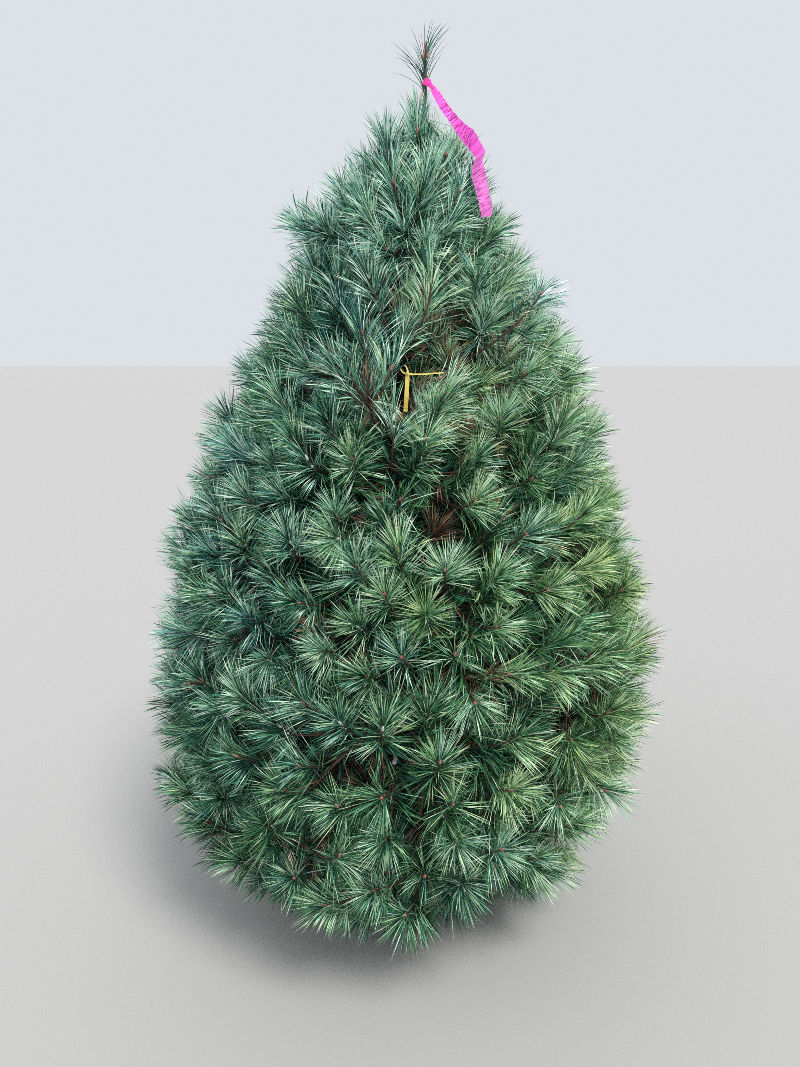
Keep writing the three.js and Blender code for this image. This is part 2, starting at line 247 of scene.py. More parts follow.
def keep_clear(points, reach, sight=None):
    """Keeps the view free to points, each with a reach in pixels."""
    sight = SIGHT if sight is None else sight
    px, py, depth = project(points)
    for x, y, far, r in zip(px, py, depth, np.broadcast_to(reach, px.shape)):
        x0, x1, y0, y1 = int(2 * (x - r)), int(2 * (x + r)) + 1, int(2 * (y - r)), int(2 * (y + r)) + 1
        if x0 < 0 or y0 < 0 or x1 >= 1600 or y1 >= 2134:
            continue
        part = sight[y0 : y1 + 1, x0 : x1 + 1]
        yy, xx = np.mgrid[y0 : y1 + 1, x0 : x1 + 1]
        hit = (xx / 2 - x) ** 2 + (yy / 2 - y) ** 2 <= r * r
        part[hit] = np.maximum(part[hit], far)


def in_sight(px, py, depth, margin=0.006, sight=None):
    xi = np.clip((px * 2).astype(int), 0, 1599)
    yi = np.clip((py * 2).astype(int), 0, 2133)
    return depth < (SIGHT if sight is None else sight)[yi, xi] - margin


def front_point(px, py, inset):
    """Where the ray through a pixel meets the surface that lies inset inside the crown's outline, or None."""
    d = ray(px, py)
    start = np.array(CAMERA)
    for t in np.arange(1.0, 2.4, 0.004):
        p = start + d * t
        if p[2] < 0.05:
            return None
        q = p[:2] - crown_centre(p[2])
        a = math.atan2(q[1], q[0])
        if np.hypot(*q) < crown_radius(p[2], a) - inset(p[2]):
            return p
    return None


def place_at(px, py, y):
    """The point on the ray through a pixel whose depth in the frame is y."""
    d = ray(px, py)
    return np.array(CAMERA) + d * ((y - CAMERA[1]) / d[1])


def clear_oval(px, py, rx, ry, y, sight=None):
    """Keeps an oval window open down to the depth y."""
    for v in np.arange(-ry, ry + 0.1, 1.0):
        w = rx * math.sqrt(max(1 - (v / ry) ** 2, 0))
        for u in np.arange(-w, w + 0.1, 1.0):
            keep_clear(np.array([place_at(px + u, py + v, y)]), 0.8, sight)


# The ribbon and the strap stand free.
for rows in (RIBBON_UPPER, RIBBON_LOWER, RIBBON_KNOT):
    rows = np.array(rows)
    t = np.linspace(0, len(rows) - 1, 160)
    rows = np.column_stack([np.interp(t, np.arange(len(rows)), rows[:, k]) for k in range(5)])
    for x0, y0, x1, y1, y in rows:
        for u in np.linspace(0, 1, 9):
            keep_clear(np.array([place_at(x0 + (x1 - x0) * u, y0 + (y1 - y0) * u, y)]), 1.4, RIBBON_SIGHT)
for px, py in [(x, 373.5) for x in np.arange(400, 445, 1.0)] + [(407 - (y - 375) * 0.04, y) for y in np.arange(374, 412, 1.0)] + [(406, 368), (404, 365)]:
    keep_clear(np.array([place_at(px, py, STRAP)]), 2.6, RIBBON_SIGHT)

for px, py, rx, ry in RECESSES:
    p = front_point(px, py, lambda z: 0.13)
    clear_oval(px, py, rx, ry, float(p[1]), RECESS_SIGHT)

# Windows at the front: the stem behind the yellow strap, and the strap's thin end.
for window in ((402.0, 391, 5.5, 18, -0.07), (424, 369, 24, 5, -0.26)):
    clear_oval(*window)


def tip_inset(z):
    return np.interp(z, [0, 0.4, 1.2, 1.6, 1.8, 1.95, 2.03], [0.064, 0.073, 0.078, 0.076, 0.070, 0.064, 0.060])


def spacing(z):
    return np.interp(z, [0, 0.9, 1.6, 2.0], [0.094, 0.091, 0.082, 0.058])


tips = []  # (place, layer, whether it stands out at the front)
resin_tips = set()
front_list = []
for foot, rows, wide, thin, bud_end in FRONT_LIMBS:
    path = [place_at(px, py, depth) if depth < 0 else front_point(px, py, lambda z, d=depth: d) for px, py, depth in rows]
    if foot != 1:
        # From the trunk it comes out in a curve that ends the way the visible part starts.
        c = stem_at(foot)
        start = np.array([c[0], c[1], foot])
        go = path[0] - start
        lead = [start + go * u + np.array([0, 0, -0.03]) * math.sin(math.pi * u) for u in np.linspace(0, 1, 6)[:-1]]
        path = lead + path
    path = np.array(path)
    t = lengths_along(path)
    dense = np.linspace(0, t[-1], 41)
    smooth = np.column_stack([np.interp(dense, t, path[:, k]) for k in range(3)])
    for _ in range(3):
        smooth[1:-1] = (smooth[:-2] + 2 * smooth[1:-1] + smooth[2:]) / 4
    front_list.append((smooth, wide / 2000, thin / 2000, len(tips) if bud_end else None))
    if bud_end:
        if bud_end == "resin":
            resin_tips.add(len(tips))
        tips.append((smooth[-1], 0, True))
for px, py in FRONT_RESIN:
    p = front_point(px, py, tip_inset)
    if p is not None:
        resin_tips.add(len(tips))
        tips.append((p, 0, True))
for px, py in FRONT_BUDS:
    p = front_point(px, py, tip_inset)
    if p is not None:
        tips.append((p, 0, True))
for px, py, y in BEHIND_STRAP:
    tips.append((place_at(px, py, y), 2, False))


def scatter(layer, depth, scale, tries):
    """Spreads shoot ends over the surface that lies depth inside the layer of the outermost buds."""
    placed = np.array([t[0] for t in tips if t[1] == layer]).reshape(-1, 3)
    zs = np.linspace(0.072, 1.965, 400)
    weight = np.maximum(np.interp(zs, CROWN_Z, CROWN_LEFT) - depth, 0.02) * np.hypot(1, np.gradient(np.interp(zs, CROWN_Z, CROWN_LEFT), zs))
    weight /= weight.sum()
    for _ in range(tries):
        z = rng.choice(zs, p=weight) + rng.uniform(-0.003, 0.003)
        a = rng.uniform(-math.pi, math.pi)
        r = crown_radius(z, a) - tip_inset(z) - depth + rng.normal(0, 0.013) - 0.012 * (1 + math.sin(4 * a + 9 * z))
        r += 0.014 * max(-math.cos(a), 0) * math.exp(-(((z - 1.05) / 0.32) ** 2)) - 0.012 * max(math.cos(a), 0) * math.exp(-(((z - 1.25) / 0.15) ** 2))
        shoulder = float(np.clip((z - 1.865) / 0.05, 0, 1)) * max(-math.cos(a), 0)  # lower beside the leader on this side
        r -= 0.03 * shoulder
        if layer == 5:  # the sprays close round the stem
            r = min(rng.uniform(0.055, 0.10), r)
        if r < 0.03 + 0.03 * (z < 1.8):
            continue
        c = crown_centre(z)
        p = np.array([c[0] + r * math.cos(a), c[1] + r * math.sin(a), z - 0.035 * shoulder])
        if layer < 2 and in_opening(p, 1.0, (0.042, 0.024)[layer]) or layer < 4 and in_opening(p, 1.0, 0.02, OPENINGS[4:6]):
            continue
        u, v, far = project(p)
        if p[1] < 0.1 and v > np.interp(u, FOOT_X, FOOT_Y):
            continue
        near = np.array([(u + i, v + j) for i in (-4, 0, 4) for j in (-4, 4, 14)])
        if in_sight(near[:, 0], near[:, 1], np.full(9, far), 0.0, RIBBON_SIGHT).any():
            continue
        if in_sight(np.array([u]), np.array([v]), np.array([far]))[0] or layer < 2 and in_sight(np.array([u]), np.array([v + 8]), np.array([far]), 0, RECESS_SIGHT)[0]:
            continue
        # The lower right of the front and the foot of the crown are thinner, so that daylight shows through.
        thin = 1.0 + 0.28 * (layer < 3) * math.exp(-(((a + 0.55) / 0.55) ** 2) - ((z - 0.45) / 0.32) ** 2)
        if layer < 4:
            thin *= float(np.interp(z, [0.05, 0.25, 0.42], [1.55, 1.25, 1.0]))
        if len(placed) and np.min(np.sum((placed - p) ** 2, 1)) < (spacing(z) * scale * thin) ** 2:
            continue
        placed = np.vstack([placed, p])
        tips.append((p, layer, False))


scatter(0, 0.0, 1.0, 20000)
scatter(1, 0.045, 1.0, 14000)
scatter(2, 0.110, 1.1, 9000)
scatter(3, 0.200, 0.98, 9000)
scatter(4, 0.310, 1.15, 6000)
scatter(5, 0.400, 1.0, 4000)

# ---------------------------------------------------------------- which bough carries each shoot
LAST = len(WHORLS) - 1
families = {}  # (tier, bough) -> list of tip numbers; tier 6 is the whorl round the leader
custom = {entry[3] for entry in front_list}
for n, (p, layer, _) in enumerate(tips):
    if n in custom:
        continue
    q = p[:2] - crown_centre(p[2])
    r, a = float(np.hypot(*q)), math.atan2(q[1], q[0])
    tier = next((i for i in range(LAST) if p[2] < seam_height(i, r, a)), LAST)
    if tier == LAST and p[2] > TOP_FOOT + 0.3 * r + 0.02:
        families.setdefault((6, 0), []).append(n)
        continue
    w = WHORLS[tier]
    best, key = 9e9, 0
    for k in range(w["n"]):
        lo, hi = side_seam(tier, w, k, p[2]), side_seam(tier, w, k + 1, p[2])
        off = abs((a - (lo + hi) / 2 + math.pi) % (2 * math.pi) - math.pi)
        if off < best:
            best, key = off, k
    families.setdefault((tier, key), []).append(n)

# ---------------------------------------------------------------- growing the limbs
STEPS = 24


def bezier(p0, p1, p2, p3, n=STEPS + 1):
    u = np.linspace(0, 1, n)[:, None]
    return (1 - u) ** 3 * p0 + 3 * u * (1 - u) ** 2 * p1 + 3 * u * u * (1 - u) * p2 + u ** 3 * p3


class Limb:
    """One bough, branch or shoot: its path, what it grew from and how many shoots it carries."""

    def __init__(self, path, parent, at, kind, tip=None):
        self.path, self.parent, self.at, self.kind, self.tip = path, parent, at, kind, tip
        self.along = lengths_along(path)
        self.load = np.zeros(len(path))  # shoots carried beyond each point
        self.given = None  # its thickness along the path, where that is set


limbs = []


def wanted_direction(p, layer, hero):
    """The way a shoot points: outwards, and more steeply upwards nearer the top."""
    c = crown_centre(p[2])
    q = p[:2] - c
    a = math.atan2(q[1], q[0])
    rise = np.interp(p[2], [0.05, 0.3, 0.6, 0.9, 1.3, 1.7, 2.0], [36, 48, 59, 65, 69, 74, 82]) + rng.normal(0, 12)
    a += rng.normal(0, 0.3)
    e = rise * RAD
    return np.array([math.cos(a) * math.cos(e), math.sin(a) * math.cos(e), math.sin(e)])


def grow_family(main_limbs, members):
    """Grows a branch to each shoot end in turn, nearest first, each from the limb that gives it the easiest way."""
    points, tangents, owners, index = [], [], [], []

    def offer(limb, first, last):
        t = unit(np.gradient(limb.path, axis=0))
        for j in range(first, last):
            points.append(limb.path[j])
            tangents.append(t[j])
            owners.append(limb)
            index.append(j)

    for limb in main_limbs:
        offer(limb, 4, len(limb.path))
    ends = np.array([tips[n][0] for n in members])
    main_points = np.array(points)
    reach = np.min(np.linalg.norm(ends[:, None] - main_points[None], axis=2), axis=1)
    for m in np.argsort(reach):
        p, layer, hero = tips[members[m]]
        P, T = np.array(points), np.array(tangents)
        gap = p - P
        D = np.linalg.norm(gap, axis=1)
        to = gap / (D[:, None] + 1e-9)
        cos = np.sum(to * T, 1)
        cost = D * (1 + 0.8 * (1 - cos)) + np.where(D < 0.15, (0.15 - D) * 6, 0)
        high = p[2] > 1.86
        if high:
            # Near the leader, shoots leave the stem below their own height and stand upright.
            cost = cost + np.where(P[:, 2] > p[2] - 0.05, 1.0, 0.0)
        wanted = wanted_direction(p, layer, hero)
        # The easiest start whose way doesn't pass in front of the ribbon or the strap.
        for j in np.argsort(cost)[:60:5]:
            start, d, go = P[j], D[j], to[j]
            want = unit(wanted * 0.9 + go * (0.12 if high else 0.45))
            leave = unit(T[j] * 0.55 + go * 0.75)
            path = bezier(start, start + leave * d * 0.30, p - want * d * 0.50, p)
            if not in_sight(*project(path), 0.0, RIBBON_SIGHT).any():
                break
        limb = Limb(path, owners[j], index[j], "shoot", members[m])
        limbs.append(limb)
        keep = np.searchsorted(limb.along, limb.along[-1] - 0.075)
        if keep > 3:
            offer(limb, 3, keep)


boughs = []
for (tier, key), members in sorted(families.items()):
    if tier == 6:
        z = np.linspace(TOP_WHORL_Z - 0.02, 2.02, 10)
        path = np.column_stack([stem_at(z), z])
        stem = Limb(path, None, 0, "stem")
        grow_family([stem], members)
        continue
    w = WHORLS[tier]
    turn = bough_turn(tier, key)
    c = stem_at(w["z"])
    zmid = middle(w, 0.5 * float(crown_radius(w["z"], turn)))
    end = float(crown_radius(zmid, turn)) - 0.15
    r = np.linspace(0.0, end, 30)
    wave = 0.008 * np.sin(r * 14 + tier + 2 * key) * np.clip((r - 0.2) / 0.1, 0, 1)
    path = np.column_stack([
        c[0] + r * math.cos(turn) - wave * math.sin(turn),
        c[1] + r * math.sin(turn) + wave * math.cos(turn),
        middle(w, r) + 0.6 * wave,
    ])
    bough = Limb(path, None, 0, "bough")
    bough.base = w["r"]
    boughs.append(bough)
    limbs.append(bough)
    # The trunk side of a bough is bare: branches start a little way out.
    first = int(np.searchsorted(r, 0.09))
    stub = Limb(path, None, 0, "bough")
    stub.path = path[first:]
    bough.first = first
    carrier = Limb(path[first:], None, 0, "carrier")
    carrier.real, carrier.shift = bough, first
    grow_family([carrier], members)

for path, wide, thin, tip in front_list:
    limb = Limb(path, None, 0, "shoot" if tip is not None else "twig", tip)
    limb.given = np.linspace(wide, thin, len(path))
    limbs.append(limb)

# Loads, from the shoots inwards, so that a limb thickens with what it carries.
for limb in reversed(limbs):
    limb.load += 1 if limb.kind == "shoot" else 0
    parent = limb.parent
    at = limb.at
    if parent is not None:
        carried = limb.load[0]
        if parent.kind == "carrier":
            parent.real.load[: at + parent.shift + 1] += carried
        elif parent.kind != "stem":
            parent.load[: at + 1] += carried

print("tips", len(tips), "limbs", len(limbs))

# ---------------------------------------------------------------- mesh helpers
def build_mesh(name, verts, tris, materials, material_index=None, smooth=True):
    verts = np.ascontiguousarray(verts, dtype=np.float32)
    tris = np.ascontiguousarray(tris, dtype=np.int32)
    mesh = bpy.data.meshes.new(name)
    mesh.vertices.add(len(verts))
    mesh.vertices.foreach_set("co", verts.ravel())
    mesh.loops.add(len(tris) * 3)
    mesh.loops.foreach_set("vertex_index", tris.ravel())
    mesh.polygons.add(len(tris))
    mesh.polygons.foreach_set("loop_start", np.arange(0, len(tris) * 3, 3, dtype=np.int32))
    mesh.polygons.foreach_set("loop_total", np.full(len(tris), 3, dtype=np.int32))
    mesh.polygons.foreach_set("use_smooth", np.full(len(tris), smooth, dtype=bool))
    for m in materials:
        mesh.materials.append(m)
    if material_index is not None:
        mesh.polygons.foreach_set("material_index", np.ascontiguousarray(material_index, dtype=np.int32))
    mesh.update()
    mesh.validate()
    obj = bpy.data.objects.new(name, mesh)
    bpy.context.scene.collection.objects.link(obj)
    return obj


def frames_along(path):
    t = unit(np.gradient(path, axis=0))
    ref = np.array([0.0, 0.0, 1.0]) if abs(t[0][2]) < 0.8 else np.array([1.0, 0.0, 0.0])
    side = np.empty_like(path)
    s = unit(np.cross(t[0], ref))
    for j in range(len(path)):
        s = unit(s - t[j] * np.dot(s, t[j]))
        side[j] = s
    return t, side, np.cross(t, side)


def tube(path, radius, sides, relief=None):
    """A closed tube along a path. Relief is a function of angle and length that swells or thins it."""
    t, s, b = frames_along(path)
    ang = np.linspace(0, 2 * math.pi, sides, endpoint=False)
    rad = np.repeat(np.asarray(radius)[:, None], sides, 1)
    if relief is not None:
        rad = rad * (1 + relief(ang[None, :], lengths_along(path)[:, None]))
    ring = path[:, None] + rad[..., None] * (np.cos(ang)[None, :, None] * s[:, None] + np.sin(ang)[None, :, None] * b[:, None])
    n = len(path)
    verts = np.vstack([ring.reshape(-1, 3), path[0] - t[0] * radius[0] * 0.3, path[-1] + t[-1] * radius[-1] * 0.8])
    i = np.arange(n - 1)[:, None] * sides
    k = np.arange(sides)[None, :]
    k2 = (k + 1) % sides
    a, b_, c, d = i + k, i + k2, i + sides + k2, i + sides + k
    quads = np.concatenate([np.stack([a, b_, c], -1).reshape(-1, 3), np.stack([a, c, d], -1).reshape(-1, 3)])
    k = np.arange(sides)
    k2 = (k + 1) % sides
    base = n * sides
    caps = np.concatenate([
        np.stack([np.full(sides, base), k2, k], -1),
        np.stack([np.full(sides, base + 1), (n - 1) * sides + k, (n - 1) * sides + k2], -1),
    ])
    return verts, np.concatenate([quads, caps])


class Pile:
    """Collects many small meshes into one."""

    def __init__(self):
        self.verts, self.tris, self.mats, self.count = [], [], [], 0

    def add(self, verts, tris, material=0):
        self.verts.append(verts)
        self.tris.append(tris + self.count)
        self.mats.append(np.broadcast_to(material, (len(tris),)))
        self.count += len(verts)

    def build(self, name, materials, smooth=True):
        return build_mesh(name, np.concatenate(self.verts), np.concatenate(self.tris), materials, np.concatenate(self.mats), smooth)


# ---------------------------------------------------------------- materials
def srgb(hexa):
    c = np.array([int(hexa[i : i + 2], 16) for i in (0, 2, 4)]) / 255
    return tuple(float(x) for x in np.where(c <= 0.04045, c / 12.92, ((c + 0.055) / 1.055) ** 2.4)) + (1.0,)


def plain(name, colour, rough=0.5, specular=0.4):
    m = bpy.data.materials.new(name)
    m.use_nodes = True
    b = m.node_tree.nodes["Principled BSDF"]
    b.inputs["Base Color"].default_value = srgb(colour)
    b.inputs["Roughness"].default_value = rough
    b.inputs["Specular IOR Level"].default_value = specular
    m.diffuse_color = srgb(colour)
    return m


def bark_material():
    m = bpy.data.materials.new("bark")
    m.use_nodes = True
    nt = m.node_tree
    b = nt.nodes["Principled BSDF"]
    b.inputs["Roughness"].default_value = 0.85
    b.inputs["Specular IOR Level"].default_value = 0.25
    where = nt.nodes.new("ShaderNodeTexCoord")
    stretch = nt.nodes.new("ShaderNodeMapping")
    stretch.inputs["Scale"].default_value = (38, 38, 14)
    noise = nt.nodes.new("ShaderNodeTexNoise")
    noise.inputs["Scale"].default_value = 1.6
    noise.inputs["Detail"].default_value = 6
    ramp = nt.nodes.new("ShaderNodeValToRGB")
    ramp.color_ramp.elements[0].position = 0.32
    ramp.color_ramp.elements[0].color = srgb("77747f")
    ramp.color_ramp.elements[1].position = 0.7
    ramp.color_ramp.elements[1].color = srgb("b2adb2")
    bump = nt.nodes.new("ShaderNodeBump")
    bump.inputs["Strength"].default_value = 0.5
    bump.inputs["Distance"].default_value = 0.002
    nt.links.new(where.outputs["Object"], stretch.inputs["Vector"])
    nt.links.new(stretch.outputs["Vector"], noise.inputs["Vector"])
    nt.links.new(noise.outputs["Fac"], ramp.inputs["Fac"])
    nt.links.new(ramp.outputs["Color"], b.inputs["Base Color"])
    nt.links.new(noise.outputs["Fac"], bump.inputs["Height"])
    nt.links.new(bump.outputs["Normal"], b.inputs["Normal"])
    return m


BARK = bark_material()
BARK_YOUNG = plain("bark_young", "4e4a42", 0.75, 0.3)  # the leader's own
TWIG = plain("twig", "4c2d2b", 0.7, 0.3)
TWIG_OLD = plain("twig_old", "352826", 0.8, 0.25)
# Needle tints, from blue-green to yellow-green. Each row runs from a dark step, used as painted shade inside the crown,
# to pale steps that are partly the pale lines on a needle's inner faces and partly painted highlight.
HUES = [
    ("123c39", "377871", "84c2b5", "d2eee4"),
    ("143d33", "3b7c68", "88c4aa", "d4eeda"),
    ("184231", "43835a", "90c89a", "d6f0ce"),
    ("1c462c", "508a52", "9cca8a", "daf0c0"),
    ("284f2a", "609250", "aace84", "e0f0b6"),
    ("3a602c", "7aa352", "bcd684", "e8f0b4"),
]
DEAD = ("452f2d", "684845", "876356", "ab8a68")
NEEDLE_MATS = [plain(f"needle_{i}_{j}", c, 0.42, 0.4) for i, row in enumerate(HUES + [DEAD]) for j, c in enumerate(row)]
DEAD_ROW = len(HUES)
BUD = plain("bud", "c2827a", 0.6, 0.3)
BUD_DARK = plain("bud_scale", "8a4a44", 0.6, 0.3)
RESIN = plain("resin", "eceeea", 0.35, 0.5)

# ---------------------------------------------------------------- bark: the trunk and the boughs, with relief
def trunk_mesh():
    pile = Pile()
    z = np.concatenate([np.linspace(0, 0.15, 26), np.linspace(0.158, STEM_Z[-1] - 0.024, 250)])
    sides = 40
    ang = np.linspace(0, 2 * math.pi, sides, endpoint=False)[None, :]
    zz = z[:, None]
    rad = np.interp(z, STEM_Z, [0.041 * (1 - q / STEM_Z[-1]) ** 1.02 + 0.004 * (1 - (1 - q / STEM_Z[-1]) ** 1.02) for q in STEM_Z])[:, None]
    foot = np.exp(-zz / 0.055)
    grown = rad + 0.017 * foot * (1 + 0.45 * np.cos(5 * ang + 0.6))
    grown = grown * np.interp(zz, [2.05, 2.14], [1.0, 0.72])
    size = np.clip(rad / 0.03, 0.1, 1)
    relief = (
        0.030 * np.sin(7 * ang + 9 * np.sin(zz * 7)) * np.sin(zz * 31 + 2 * np.sin(3 * ang))
        + 0.022 * np.sin(13 * ang + 41 * zz) * np.sin(zz * 83 + 3 * ang)
        + 0.014 * np.sin(19 * ang - 150 * zz)
    ) * size
    ridges = sum(0.05 * np.exp(-((zz - w["z"]) / 0.018) ** 2) for w in WHORLS)
    grown = grown * (0.985 + relief * 0.7 + ridges)
    c = stem_at(z)
    ring = np.stack([c[:, :1] + grown * np.cos(ang), c[:, 1:] + grown * np.sin(ang), np.broadcast_to(zz, grown.shape)], -1)
    n = len(z)
    verts = np.vstack([ring.reshape(-1, 3), [0, 0, 0], [c[-1][0], c[-1][1], z[-1] + 0.004]])
    i = np.arange(n - 1)[:, None] * sides
    k = np.arange(sides)[None, :]
    k2 = (k + 1) % sides
    a, b_, cc, d = i + k, i + k2, i + sides + k2, i + sides + k
    tris = [np.stack([a, b_, cc], -1).reshape(-1, 3), np.stack([a, cc, d], -1).reshape(-1, 3)]
    k = np.arange(sides)
    k2 = (k + 1) % sides
    tris.append(np.stack([np.full(sides, n * sides), k2, k], -1))
    tris.append(np.stack([np.full(sides, n * sides + 1), (n - 1) * sides + k, (n - 1) * sides + k2], -1))
    tris = np.concatenate(tris)
    pile.add(verts, tris, (verts[tris, 2].mean(1) > 1.88).astype(int))
    return pile.build("trunk_bark", [BARK, BARK_YOUNG])


def bark_relief(seed):
    return lambda ang, s: 0.05 * np.sin(3 * ang + 25 * s + seed) + 0.04 * np.sin(5 * ang - 90 * s + 2 * seed) * np.sin(140 * s)


trunk_piece = trunk_mesh()
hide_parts("trunk")
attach(trunk_piece, "root")

bough_pile = Pile()
for n, bough in enumerate(boughs):
    share = bough.along / bough.along[-1]
    radius = np.maximum(bough.base * (1 - 0.62 * share), 0.0023 * np.sqrt(np.maximum(bough.load, 1)))
    radius = np.minimum(radius, bough.base)
    dense = np.linspace(0, len(bough.path) - 1, 44)
    path = np.column_stack([np.interp(dense, np.arange(len(bough.path)), bough.path[:, k]) for k in range(3)])
    r = np.interp(dense, np.arange(len(bough.path)), radius)
    collar = 1 + 0.35 * np.exp(-lengths_along(path) / 0.05)
    v, t = tube(path, r * collar, 9, bark_relief(n))
    bough_pile.add(v, t)
bough_piece = bough_pile.build("bough_bark", [BARK])
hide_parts(*[name for name in sorted(frame["nodes"]) if name.startswith("bough_")])
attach(bough_piece, "root")

# ---------------------------------------------------------------- twigs
twig_pile = Pile()
for limb in limbs:
    if limb.kind not in ("shoot", "twig"):
        continue
    load = np.maximum(limb.load, 1)
    rest = limb.along[-1] - limb.along
    radius = 0.0017 * load ** 0.40 + 0.0006 * np.clip(rest / 0.15, 0, 1)
    if limb.given is not None:
        radius = limb.given
    last = len(limb.path) - 1
    step = np.linspace(0, last, max(5, int(limb.along[-1] / 0.028)))
    path = np.column_stack([np.interp(step, np.arange(last + 1), limb.path[:, k]) for k in range(3)])
    r = np.interp(step, np.arange(last + 1), radius)
    sides = 4 if limb.tip is not None and tips[limb.tip][1] > 1 else 6 if limb.given is not None else 5
    v, t = tube(path, r, sides)
    # Old wood is darker than this year's shoots.
    old = np.repeat(limb.along[-1] - np.interp((step[:-1] + step[1:]) / 2, np.arange(last + 1), limb.along) > 0.16, sides)
    twig_pile.add(v, t, np.concatenate([old, old, np.full(sides, old[0]), np.full(sides, False)]).astype(int))
twig_piece = twig_pile.build("twigs", [TWIG, TWIG_OLD])
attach(twig_piece, "root")

# The stems under the buds at the front stand free of needles.
for limb in limbs:
    if limb.kind == "twig" or limb.kind == "shoot" and tips[limb.tip][2]:
        show = 0.075 if limb.given is None else 0.22
        back = np.arange(0.004, min(show, limb.along[-1] * (0.8 if limb.given is None else 0.97)), 0.0008)
        s = limb.along[-1] - back
        line = np.column_stack([np.interp(s, limb.along, limb.path[:, k]) for k in range(3)])
        keep_clear(line, 1.0)
        if limb.kind == "shoot":
            keep_clear(limb.path[-1:], 2.4)
# ---------------------------------------------------------------- needles
FLOOR = 0.003
REACH = (-0.722, 0.703, -0.716, 0.702)  # how far needles may reach towards -X, +X, -Y and +Y


def cross_axes(d):
    ref = np.where(np.abs(d[:, 2:3]) < 0.85, [[0.0, 0.0, 1.0]], [[1.0, 0.0, 0.0]])
    s = unit(np.cross(d, ref))
    return s, np.cross(d, s)


def along_limb(limb, back):
    s = np.clip(limb.along[-1] - back, 0.01, limb.along[-1])
    tang = unit(np.gradient(limb.path, axis=0))
    place = np.column_stack([np.interp(s, limb.along, limb.path[:, k]) for k in range(3)])
    axis = unit(np.column_stack([np.interp(s, limb.along, tang[:, k]) for k in range(3)]))
    return place, axis


def grow_needles(place, axis, lean, around, length, width, per=5, splay=0.085, arch=0.16, droop=0.08, faces=3, wild=0.06):
    """Needles in bundles of five: each bundle stands at an angle lean from axis, turned round it by around.
    Gives the vertices and which of the needles were kept, since some lines of sight are left free."""
    s, b = cross_axes(axis)
    out = np.cos(around)[:, None] * s + np.sin(around)[:, None] * b
    d = np.cos(lean)[:, None] * axis + np.sin(lean)[:, None] * out
    n = len(place) * per
    base = np.repeat(place, per, 0)
    out = np.repeat(out, per, 0)
    d = unit(np.repeat(d, per, 0) + rng.normal(0, splay, (n, 3)))
    length = np.repeat(length, per) * rng.uniform(0.88, 1.06, n)
    bend = np.repeat(arch * rng.uniform(0.2, 1.7, len(place)), per)[:, None]
    sag = np.repeat(droop * rng.uniform(0.0, 1.8, len(place)), per)[:, None]
    mid = base + d * (length * 0.5)[:, None]
    d2 = unit(d + out * bend + np.array([0, 0, -1.0]) * sag + rng.normal(0, wild, (n, 3)))
    tip = mid + d2 * (length * 0.5)[:, None]
    # The flat of a needle mostly faces out of the crown.
    c = crown_centre(mid[:, 2])
    face = unit(np.column_stack([mid[:, 0] - c[:, 0], mid[:, 1] - c[:, 1], np.full(n, 0.25)]))
    side = unit(np.cross(d, face + rng.normal(0, 0.6, (n, 3))))
    wide = width * rng.uniform(0.85, 1.15, (n, 1))
    t = np.linspace(0.0, 1.0, 9)[None, :, None]
    line = np.concatenate([base[:, None] + (mid - base)[:, None] * t, mid[:, None] + (tip - mid)[:, None] * t[:, 1:]], 1)
    px, py, depth = project(line)
    blocked = in_sight(px, py, depth).any(1) & (rng.random(n) < 0.88)
    blocked |= in_sight(px, py, depth, 0.0, RECESS_SIGHT).any(1) & (rng.random(n) < 0.75)
    blocked |= in_sight(px, py, depth, 0.0, RIBBON_SIGHT).any(1)
    beyond = (tip[:, 0] < REACH[0]) | (tip[:, 0] > REACH[1]) | (tip[:, 1] < REACH[2]) | (tip[:, 1] > REACH[3]) | (mid[:, 2] < 0.004)
    kept = ~(blocked | beyond)
    if faces > 2:
        # A strip whose corners fall left and right by turns, so that few faces follow the needle's curve.
        steps = (0.3, 0.54, 0.78) if faces == 3 else (0.22, 0.42, 0.62, 0.82)
        at = [(1 - u) ** 2 * base + 2 * u * (1 - u) * mid + u * u * tip for u in steps]
        at = [q + side * wide * (-0.5, 0.5)[j % 2] * (1.0 if j < faces - 1 else 0.8) for j, q in enumerate(at)]
        verts = np.stack([base, *at, tip], 1)
    else:
        middle_of = (base + 2 * mid + tip) / 4
        verts = np.stack([base, middle_of - side * wide * 0.5, middle_of + side * wide * 0.5, tip], 1)  # a kite
    verts[..., 2] = np.maximum(verts[..., 2], FLOOR)
    return verts[kept], kept


def needle_tris(verts):
    """The faces of needles, each a strip of triangles from its base to its tip."""
    n, corners = verts.shape[:2]
    k = np.arange(n)[:, None] * corners
    t = np.stack([k + ([j, j + 1, j + 2] if j % 2 else [j + 1, j, j + 2]) for j in range(corners - 2)], 1)
    return t.reshape(-1, 3)


def hue_for(p):
    """Bluer to the left and at the top, greener and yellower to the right and across the front middle: partly the
    tree's own tints and partly painted light, warmer where light falls and cooler where it is shaded.
    """
    warm_lit_band = 0.7 * math.exp(-(((p[2] - 1.0) / 0.35) ** 2)) * min(max((p[0] + 0.24) / 0.3, 0), 1)
    low_left = min(max((0.9 - p[2]) / 0.4, 0), 1) * (0.2 + 0.6 * min(max(-p[0] / 0.3, 0), 1))
    return float(np.clip(1.4 + 1.65 * p[0] + warm_lit_band + low_left - 0.5 * min(max((p[2] - 1.3) / 0.5, 0), 1) - 0.3 * (p[2] > 1.7) + rng.normal(0, 0.4), 0.0, 4.4))


